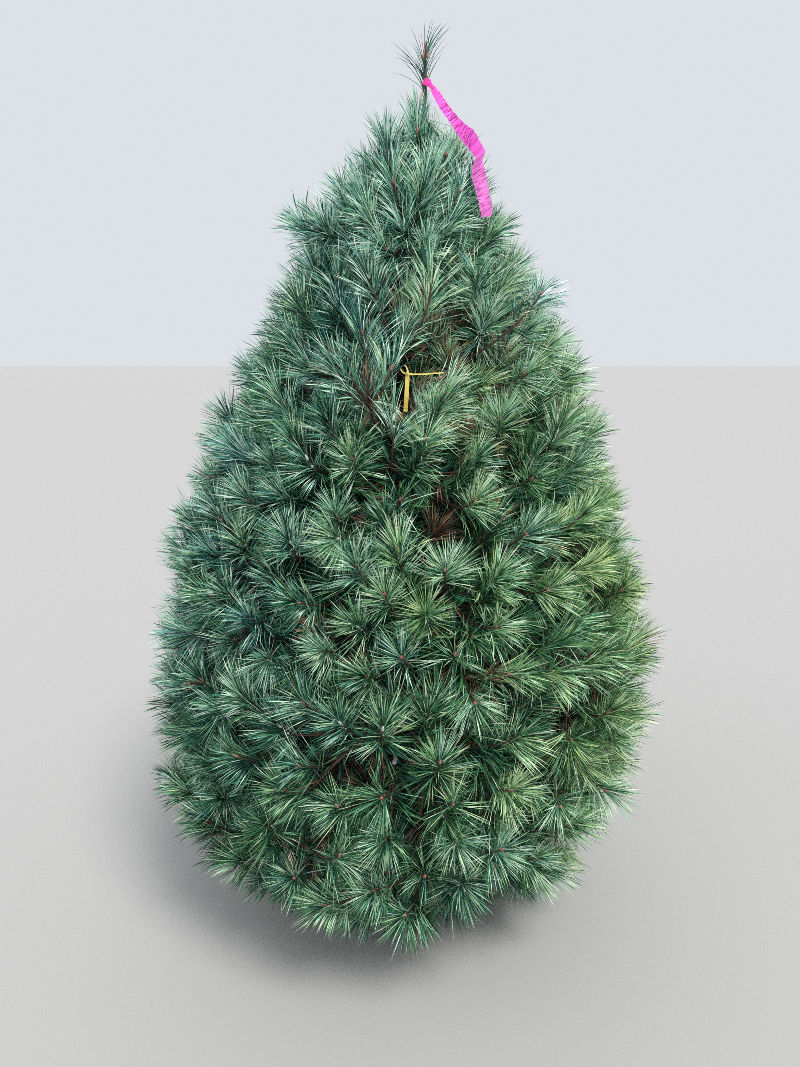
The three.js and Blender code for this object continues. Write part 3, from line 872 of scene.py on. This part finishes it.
# How often a needle shows each step of its row, for the layers from the outermost inwards: the inner layers take the
# darker steps as painted shade.
SHADES = np.array([(0.31, 0.23, 0.24, 0.22), (0.58, 0.24, 0.14, 0.04), (0.74, 0.23, 0.03, 0.0), (0.88, 0.12, 0.0, 0.0), (0.95, 0.05, 0.0, 0.0), (1.0, 0.0, 0.0, 0.0)])
# How far a brighter pick tilts the mix towards the paler steps: this carries the painted light set by place in the
# crown.
BRIGHT = np.array([0.7, 0.9, 1.35, 1.7])


def tint(bundles, per, hue, layer, bright, faces, dead=0.0):
    """A material for each face of each needle, carrying painted shade and painted light in the steps it picks. The
    needles of one bundle mostly share theirs.
    """
    count = bundles * per
    row = np.repeat(np.round(hue + rng.normal(0, 0.4, bundles)), per)
    row = np.clip(row + (rng.random(count) < 0.12), 0, len(HUES) - 1).astype(int)
    w = SHADES[layer] * BRIGHT ** bright
    shade = np.repeat(rng.choice(4, size=bundles, p=w / w.sum()), per)
    other = rng.choice(4, size=count, p=w / w.sum())
    shade = np.where(rng.random(count) < 0.8, other, shade)
    gone = np.repeat(rng.random(bundles) < dead, per)
    row = np.where(gone, DEAD_ROW, row)
    # Dead needles take a step paler: painted light in the dim inside of the crown.
    shade = np.where(gone, np.minimum(shade + 1, 3), shade)
    # A needle's foot is often a step darker, painted shade at the base of the tuft; its end is often a step paler and
    # sometimes a row yellower, painted highlight on the tips.
    foot = row * 4 + np.maximum(shade - (rng.random(count) < 0.55), 0)
    yellower = np.where((rng.random(count) < 0.16) & (row < len(HUES) - 1), 1, 0)
    end = (row + yellower) * 4 + np.minimum(shade + (rng.random(count) < 0.35), 3)
    return np.stack([foot] * (faces // 2) + [end] * (faces - faces // 2), 1)


groups = {}


def tuft(limb):
    p, layer, hero = tips[limb.tip]
    top = float(np.clip((p[2] - 1.2) / 0.7, 0, 1))
    size = rng.uniform(0.9, 1.08)
    zone = (0.058 + 0.050 * top) * size
    count = (48, 40, 32, 24, 22, 18)[layer]
    width = (0.0016, 0.0019, 0.0026, 0.0042, 0.0052, 0.0060)[layer]
    faces = (3, 3, 2, 2, 2, 2)[layer]
    gap = p - np.array([0.06, -0.2, 1.46])
    by_strap = layer > 0 and gap @ gap < 0.23 ** 2
    if by_strap:
        count, width, faces = max(count, 34), 0.0022, 3
    back = np.sort(rng.random(count) ** 1.15 * zone)
    place, axis = along_limb(limb, back)
    share = back / zone
    peak = float(np.clip((p[2] - 1.86) / 0.08, 0, 1))
    tousled = float(np.clip((p[2] - 1.72) / 0.12, 0, 1))
    fan = 1 - 0.17 * float(np.clip((p[2] - 0.6) / 0.3, 0, 1))
    lean = (11 + 46 * share ** 0.75 - 4 * top) * fan * (1 - 0.45 * peak) * RAD + rng.normal(0, (0.13 + 0.07 * top) * (1 - 0.5 * peak), count)
    around = np.arange(count) * 2.39996 + rng.normal(0, 0.3, count)
    length = (0.098 + 0.008 * top) * size * rng.uniform(0.88, 1.08, count)
    hue = hue_for(p)
    # Painted light and shade by place: a brighter pick higher up, at the lower right and in the front middle; a darker
    # one lower down, at the upper left and at the lower left.
    bright = rng.normal(0, 0.6) + (1.0 if p[2] > 0.9 else 1.3) * (p[2] - 0.9) + 1.1 * float(p[0] > 0.12 and p[2] < 0.64)
    if p[0] < -0.05 and 1.3 < p[2] < 1.72:
        bright -= 1.5
    if p[0] < -0.2 and p[2] < 1.3:
        bright -= 0.35 + 0.4 * float(p[2] < 0.75)
    if abs(p[0]) < 0.2 and 0.80 < p[2] < 1.2:
        bright += 0.6
    dead = (0.003, 0.012, 0.07, 0.25, 0.3, 0.5)[layer]
    u, v, far = project(p)
    near = np.array([(u + i, v + j) for i in (-12, 0, 12) for j in (-6, 6, 18)])
    if layer > 0 and (in_opening(p, 1.0, 0.06) or in_sight(near[:, 0], near[:, 1], np.full(9, far - 0.15), 0, RECESS_SIGHT).any()):
        dead = (0, 0.22, 0.7, 0.88, 0.88, 0.88)[layer]
    lit = layer
    if by_strap:
        # Round the opening over the strap the inner needles take the outermost layer's paler mix and a brighter pick,
        # with some dead needles among them: painted light where little light comes in.
        lit, bright, dead = 0, 1.5, 0.3
    # A patch of painted light on the outer needles at the front, near the strap.
    if layer == 0 and p[1] < -0.1:
        bright += 1.6 * math.exp(-(((p[0] - 0.06) / 0.08) ** 2) - ((p[2] - 1.36) / 0.08) ** 2)
    parts = []
    verts, kept = grow_needles(place, axis, lean, around, length, width, splay=0.105 + 0.04 * top + 0.05 * tousled, arch=(0.34 + 0.24 * top) * (1 - 0.8 * peak), droop=0.13 * (1 - peak), faces=faces, wild=0.07 + 0.08 * top + 0.10 * tousled)
    parts.append((verts, tint(count, 5, hue, lit, bright, faces, dead)[kept]))
    far = limb.along[-1]
    if layer < 3 and far > zone + 0.05 and p[2] < 1.86:
        # Last year's needles, further back on the same shoot, with the darker mix of the second layer inwards as
        # painted shade.
        old = (12, 12, 8)[layer]
        back = zone + 0.02 + rng.random(old) * min(0.09, far - zone - 0.03)
        place, axis = along_limb(limb, back)
        verts, kept = grow_needles(place, axis, rng.uniform(50, 80, old) * RAD, rng.uniform(0, 2 * math.pi, old), rng.uniform(0.07, 0.09, old), 0.0024, faces=2)
        parts.append((verts, tint(old, 5, hue, 2, 0, 2, 0.15)[kept]))
    q = p[:2] - crown_centre(p[2])
    key = next((i for i in range(LAST) if p[2] < seam_height(i, float(np.hypot(*q)), math.atan2(q[1], q[0]))), LAST)
    groups.setdefault(key, []).append((math.atan2(q[1], q[0]), parts))


for limb in limbs:
    if limb.kind == "shoot":
        tuft(limb)

# The leader's own needles: few, thin and long, leaving the stem steeply and arching out round its tip.
def arching_needles(place, turn, start, end, length, width, steps=5):
    """Needles that set off at an angle start from upright and have bent to the angle end at their tips."""
    n = len(place)
    t = np.linspace(0, 1, steps)
    angle = (start[:, None] + (end - start)[:, None] * t[None, :-1] ** 0.8) * RAD
    out = np.column_stack([np.cos(turn), np.sin(turn), np.zeros(n)])
    up = np.array([0.0, 0.0, 1.0])
    d = np.cos(angle)[..., None] * up + np.sin(angle)[..., None] * out[:, None]
    line = np.concatenate([place[:, None], place[:, None] + np.cumsum(d * (length / (steps - 1))[:, None, None], 1)], 1)
    side = unit(np.cross(d[:, 0], unit(np.array([0.0, -1.0, 0.2]) + rng.normal(0, 0.3, (n, 3)))))
    w = width * np.linspace(1.0, 0.55, steps - 1)
    verts = np.concatenate([np.stack([line[:, k] + side * s * w[k] / 2 for s in (-1, 1)], 1) for k in range(steps - 1)] + [line[:, -1:]], 1)
    verts[..., 2] = np.minimum(verts[..., 2], 2.2034)
    k = np.arange(n)[:, None] * (2 * steps - 1)
    tris = [k + [2 * j, 2 * j + 1, 2 * j + 3] for j in range(steps - 2)] + [k + [2 * j, 2 * j + 3, 2 * j + 2] for j in range(steps - 2)]
    tris.append(k + [2 * steps - 4, 2 * steps - 3, 2 * steps - 2])
    return verts.reshape(-1, 3), np.concatenate(tris)


n = 17
z = np.repeat(rng.uniform(2.066, 2.146, n), 3)
place = np.column_stack([stem_at(z), z])
turn = np.repeat(np.arange(n) * 2.39996 + 0.4, 3) + rng.normal(0, 0.55, n * 3)
left = np.clip(-np.cos(turn), 0, 1)
start = np.repeat(rng.uniform(8, 30, n), 3) + rng.normal(0, 6, n * 3) + 17 * left
end = start + np.repeat(rng.uniform(4, 32, n), 3) + 36 * left * rng.random(n * 3)
length = np.minimum(rng.uniform(0.088, 0.116, n * 3) * np.clip(0.62 + start / 60, 0.7, 1), (2.2034 - z) / np.clip(np.cos((start + end) / 2 * RAD), 0.3, 1) * 1.02)
leader_verts, leader_tris = arching_needles(place, turn, start, end, length, 0.0017)
# A brush of upright needles hugs the leader's foot.
n = 30
z = np.repeat(rng.uniform(1.915, 1.985, n), 5)
place = np.column_stack([stem_at(z), z])
turn = np.repeat(np.arange(n) * 2.39996, 5) + rng.normal(0, 0.2, n * 5)
start = np.repeat(rng.uniform(4, 22, n), 5) + rng.normal(0, 5, n * 5) + 6 * np.clip(-np.cos(turn), 0, 1)
foot_verts, foot_tris = arching_needles(place, turn, start, start + np.repeat(rng.uniform(0, 22, n), 5), rng.uniform(0.078, 0.108, n * 5), 0.0021)

replaced = {0: "tier1", 1: "tier2", 2: "tier3", 3: "tier4", 4: "tier5", 5: "tier6"}
for key in sorted(groups):
    shoots = sorted(groups[key], key=lambda g: g[0])
    tri_count = sum(m.size for _, parts in shoots for _, m in parts)
    shares = max(1, math.ceil(tri_count / 170000))
    cut = np.array_split(np.arange(len(shoots)), shares)
    for part_no, ids in enumerate(cut):
        pile = Pile()
        for j in ids:
            for verts, mats in shoots[j][1]:
                if len(verts):
                    pile.add(verts.reshape(-1, 3), needle_tris(verts), mats.ravel())
        if key == LAST and part_no == 0:
            # The leader's needles take only the two darkest steps of their row: painted shade, as they stand against
            # the light.
            shade = rng.choice([0, 0, 0, 1, 1], size=17 * 3)
            pile.add(leader_verts, leader_tris, np.tile(4 + shade, 7))
            shade = rng.choice([0, 1, 2, 2, 3], size=30 * 5)
            pile.add(foot_verts, foot_tris, np.tile(4 + shade, 7))
        piece = pile.build(f"needles_{replaced[key]}_{'abcd'[part_no]}", NEEDLE_MATS, smooth=False)
        n = sum(len(t) for t in pile.tris)
        if part_no == 0:
            names = [m for m in sorted(frame["nodes"]) if m.startswith(f"needles_{replaced[key]}")]
            if key == LAST:
                names += [m for m in sorted(frame["nodes"]) if m.startswith("needles_top") or m == "needles_leader"]
            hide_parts(*names)
        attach(piece, "root")

# ---------------------------------------------------------------- buds and resin
bud_pile = Pile()
resin_pile = Pile()


def bud(pile, place, axis, length, radius, material=0):
    u = np.array([0, 0.3, 0.65, 1.0])
    path = place[None] + axis[None] * (u * length)[:, None]
    v, t = tube(path, radius * np.array([0.65, 1.0, 0.8, 0.2]), 6)
    pile.add(v, t, material)


for limb in limbs:
    if limb.kind != "shoot":
        continue
    p, layer, hero = tips[limb.tip]
    if layer > 1:
        continue
    axis = unit(limb.path[-1] - limb.path[-3])
    s, b = cross_axes(axis[None])
    if limb.tip in resin_tips or not hero and rng.random() < 0.14:
        # White resin on the bud, and run down the shoot.
        bud(resin_pile, p - axis * 0.006, axis, 0.016, 0.0034)
        for k in range(rng.integers(2, 7)):
            a = rng.uniform(0, 2 * math.pi)
            back = rng.uniform(0.006, 0.030)
            place, along = along_limb(limb, np.array([back]))
            off = 0.0014 * (math.cos(a) * s[0] + math.sin(a) * b[0])
            bud(resin_pile, place[0] + off, along[0], rng.uniform(0.004, 0.008), rng.uniform(0.0012, 0.0020))
        continue
    grown = 1.25 if hero else 1.0
    bud(bud_pile, p - axis * 0.002, axis, rng.uniform(0.010, 0.015) * grown, rng.uniform(0.0024, 0.0031) * grown)
    for k in range(rng.integers(1, 4)):
        a = rng.uniform(0, 2 * math.pi)
        lean = unit(axis + 0.55 * (math.cos(a) * s[0] + math.sin(a) * b[0]))
        bud(bud_pile, p - axis * 0.003, lean, 0.008 * grown, 0.0019 * grown, 1)
for dx, z, lean, size in ((0.0, 2.142, 0.0, 0.030), (0.006, 2.136, 0.2, 0.018), (-0.004, 2.134, -0.4, 0.012)):
    c = stem_at(z)
    bud(bud_pile, np.array([c[0] + dx, c[1], z]), unit(np.array([lean, 0.0, 1.0])), size, 0.0036)
bud_piece = bud_pile.build("buds", [BUD, BUD_DARK])
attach(bud_piece, "root")
resin_piece = resin_pile.build("resin_tips", [RESIN])
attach(resin_piece, "root")

# ---------------------------------------------------------------- the flagging ribbon on the leader, and the yellow strap
def strip(name, rows, materials, cells, across, ripple, thick, crease=None):
    """A thin band between a left and a right edge, given as rows in the photograph's frame: a closed skin with creases.
    Crease gives the number of each face's material."""
    rows = np.array(rows, float)
    left = np.array([place_at(row[0], row[1], row[4]) for row in rows])
    right = np.array([place_at(row[2], row[3], row[4]) for row in rows])
    s = lengths_along((left + right) / 2)
    t = np.linspace(0, s[-1], cells + 1)
    a0 = np.column_stack([np.interp(t, s, left[:, k]) for k in range(3)])
    a1 = np.column_stack([np.interp(t, s, right[:, k]) for k in range(3)])
    u = np.linspace(0, 1, across + 1)
    grid = a0[:, None] + u[None, :, None] * (a1 - a0)[:, None]
    normal = unit(np.cross(unit(np.gradient((a0 + a1) / 2, axis=0)), a1 - a0))
    if np.mean(normal[:, 1]) > 0:
        normal = -normal
    grid = grid + normal[:, None] * ripple(t[:, None], 2 * u[None, :] - 1)[..., None]
    front = grid + normal[:, None] * thick / 2
    back = grid - normal[:, None] * thick / 2
    verts = np.concatenate([front.reshape(-1, 3), back.reshape(-1, 3)])
    m = across + 1
    i, k = np.meshgrid(np.arange(cells), np.arange(across), indexing="ij")
    mat = np.zeros(cells * across, int)
    if crease is not None:
        mat = crease((t[:-1] + t[1:])[:, None] / 2, (u[:-1] + u[1:])[None, :] - 1).ravel().astype(int)
    a = (i * m + k).ravel()
    b = a + 1
    d = a + m
    e = d + 1
    n = len(front.reshape(-1, 3))
    tris = [np.stack([a, b, e], 1), np.stack([a, e, d], 1), np.stack([a + n, e + n, b + n], 1), np.stack([a + n, d + n, e + n], 1)]
    rim = np.concatenate([np.arange(m), np.arange(1, cells + 1) * m + across, cells * m + np.arange(across - 1, -1, -1), np.arange(cells - 1, 0, -1) * m])
    nxt = np.roll(rim, -1)
    tris += [np.stack([rim, rim + n, nxt + n], 1), np.stack([rim, nxt + n, nxt], 1)]
    mats = np.concatenate([mat] * 4 + [np.zeros(2 * len(rim), int)])
    obj = build_mesh(name, verts, np.concatenate(tris), materials, mats, smooth=False)
    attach(obj, "root")
    return obj


RIBBON = plain("ribbon", "ea58c6", 0.42, 0.35)
RIBBON_PALE = plain("ribbon_pale", "d26ab8", 0.42, 0.35)
RIBBON_HOT = plain("ribbon_hot", "ff48b4", 0.42, 0.4)
# Dark lines along the creases: painted shade.
RIBBON_CREASE_SHADE = plain("ribbon_crease_shade", "8c3a80", 0.5, 0.3)
TAG = plain("tag", "ffe87c", 0.45, 0.4)
TAG_RIB = plain("tag_rib", "d0a850", 0.5, 0.3)


def crease_set(first, last, count, slope, reach, seed):
    """Creases across the band: place along it, slope, where each starts and ends across it, and its half thickness."""
    dice = np.random.default_rng(seed)
    places = np.sort(first + (last - first) * (np.arange(count) + dice.uniform(0.1, 0.9, count)) / count)
    rows = []
    for place in places:
        near = dice.random() < 0.6
        span = dice.uniform(*reach)
        rows.append((place, slope * dice.uniform(0.5, 1.5), -1.0 if near else 1 - 2 * span, -1 + 2 * span if near else 1.0, dice.uniform(0.0005, 0.0009)))
    return rows


def crease_lines(rows):
    def lines(t, u):
        out = 0 * t + 0 * u
        for place, slope, lo, hi, wide in rows:
            off = (t - place + slope * u + 0.0003 * np.sin(5 * u + place * 900)) / wide
            out = np.maximum(out, np.exp(-off * off) * ((u > lo) & (u < hi)))
        return out
    return lines


def creased(rows):
    lines = crease_lines(rows)
    return lambda t, u: -0.0012 * lines(t, u) + 0.0012 * np.sin(t * 330 + 1.2 * u) + 0.0015 * np.sin(t * 40 + 1.5 * u)


UPPER_CREASES = crease_set(0.060, 0.190, 20, 0.0085, (0.4, 1.0), 5) + crease_set(0.090, 0.180, 10, 0.0120, (0.2, 0.5), 6)
LOWER_CREASES = crease_set(0.010, 0.060, 9, 0.0072, (0.5, 1.0), 7) + crease_set(0.055, 0.150, 24, 0.0080, (0.15, 0.6), 8)
# Where the painted shade lies along the creases of each length.
upper_crease_shade, lower_crease_shade = crease_lines(UPPER_CREASES), crease_lines(LOWER_CREASES)


# Faces on the crease lines take the painted crease shade; those near the knot and in a wedge further on take the hot
# pink.
def upper_mark(t, u):
    hot = (t > 0.020) & (t < 0.090) & (u > -0.3 + (t - 0.02) * 14)
    return np.where(upper_crease_shade(t, u) > 0.5, 1, np.where(hot | (t < 0.022), 2, 0))


upper = strip("ribbon_upper", RIBBON_UPPER, [RIBBON, RIBBON_CREASE_SHADE, RIBBON_HOT], 330, 10, creased(UPPER_CREASES), 0.0005, upper_mark)
lower = strip("ribbon_lower", RIBBON_LOWER, [RIBBON_PALE, RIBBON_CREASE_SHADE], 250, 10, creased(LOWER_CREASES), 0.0005, lambda t, u: (lower_crease_shade(t, u) > 0.5) * 1)
knot = strip("ribbon_knot", RIBBON_KNOT, [RIBBON_HOT], 12, 6, lambda t, u: 0.0012 * np.sin(t * 900 + 3 * u), 0.003)


def ribs(t, u):
    return (np.sin(t * 1500) > 0.45) * 1 + (0 * u).astype(int)


def band(rows):
    """Rows of centre and half width in the photograph's frame, and depth, as rows of two edges."""
    rows = np.array(rows, float)
    flow = np.gradient(rows[:, :2], axis=0)
    flow /= np.linalg.norm(flow, axis=1)[:, None]
    return [(x + f[1] * w, y - f[0] * w, x - f[1] * w, y + f[0] * w, d) for (x, y, d, w), f in zip(rows, flow)]


tail = strip("tag_tail", band([(407.5, 372.5, STRAP, 1.7), (407.3, 380, STRAP, 2.1), (406.6, 395, STRAP, 2.2), (405.4, 411.5, STRAP, 2.0)]), [TAG, TAG_RIB], 80, 3, lambda t, u: 0.002 * np.sin(t * 30) + 0 * u, 0.0012, ribs)
strand = strip("tag_strand", band([(400.3, 368.8, STRAP, 0.5), (402.3, 372, STRAP, 0.6), (405, 373.6, STRAP, 0.7), (408.4, 374, STRAP, 1.2), (413, 374.3, STRAP, 0.8), (424, 374.2, STRAP, 0.65), (436, 373.2, STRAP + 0.01, 0.6), (444, 372.6, STRAP + 0.02, 0.6)]), [TAG], 50, 2, lambda t, u: 0 * t + 0 * u, 0.0015)
curl = strip("tag_curl", band([(407.6, 373.5, STRAP - 0.004, 1.4), (407.6, 370, STRAP - 0.004, 0.8), (406.2, 366.4, STRAP - 0.004, 0.6), (404.2, 364.8, STRAP - 0.004, 0.6)]), [TAG], 16, 2, lambda t, u: 0 * t + 0 * u, 0.0015)

# ---------------------------------------------------------------- stage, light, camera
floor_mesh = bpy.data.meshes.new("floor")
floor_mesh.from_pydata([(-30, -30, 0), (30, -30, 0), (30, 30, 0), (-30, 30, 0)], [], [(0, 1, 2, 3)])
floor = bpy.data.objects.new("floor", floor_mesh)
bpy.context.scene.collection.objects.link(floor)
floor_mesh.materials.append(plain("floor", "a9a8a6", 0.9, 0.1))

world = bpy.data.worlds.new("world")
bpy.context.scene.world = world
world.use_nodes = True
world.node_tree.nodes["Background"].inputs["Color"].default_value = (0.86, 0.90, 0.95, 1)
world.node_tree.nodes["Background"].inputs["Strength"].default_value = 0.84


def sun(name, place, spread, power, colour):
    """A soft, even light from the direction of place."""
    light = bpy.data.lights.new(name, "SUN")
    light.angle = spread * RAD
    light.energy = power
    light.color = colour
    o = bpy.data.objects.new(name, light)
    o.location = place
    o.rotation_euler = (-Vector(place)).to_track_quat("-Z", "Y").to_euler()
    bpy.context.scene.collection.objects.link(o)


sun("key", (1.5, -2.4, 4.3), 20, 3.0, (1.0, 0.99, 0.97))
sun("fill", (-3.0, -2.0, 2.4), 60, 0.55, (0.93, 0.97, 1.0))
sun("back", (-0.8, 3.4, 3.0), 60, 0.4, (0.95, 0.98, 1.0))

cam = bpy.data.cameras.new("camera")
cam.sensor_fit = "AUTO"
cam.sensor_width = 36
cam.lens = FOCAL / 1067 * 36
cam_obj = bpy.data.objects.new("camera", cam)
cam_obj.location = CAMERA
cam_obj.rotation_euler = (math.pi / 2 - PITCH, 0, 0)
bpy.context.scene.collection.objects.link(cam_obj)
bpy.context.scene.camera = cam_obj
bpy.context.scene.view_settings.view_transform = "Standard"
bpy.context.scene.cycles.use_denoising = False
bpy.context.scene.cycles.filter_width = 0.8
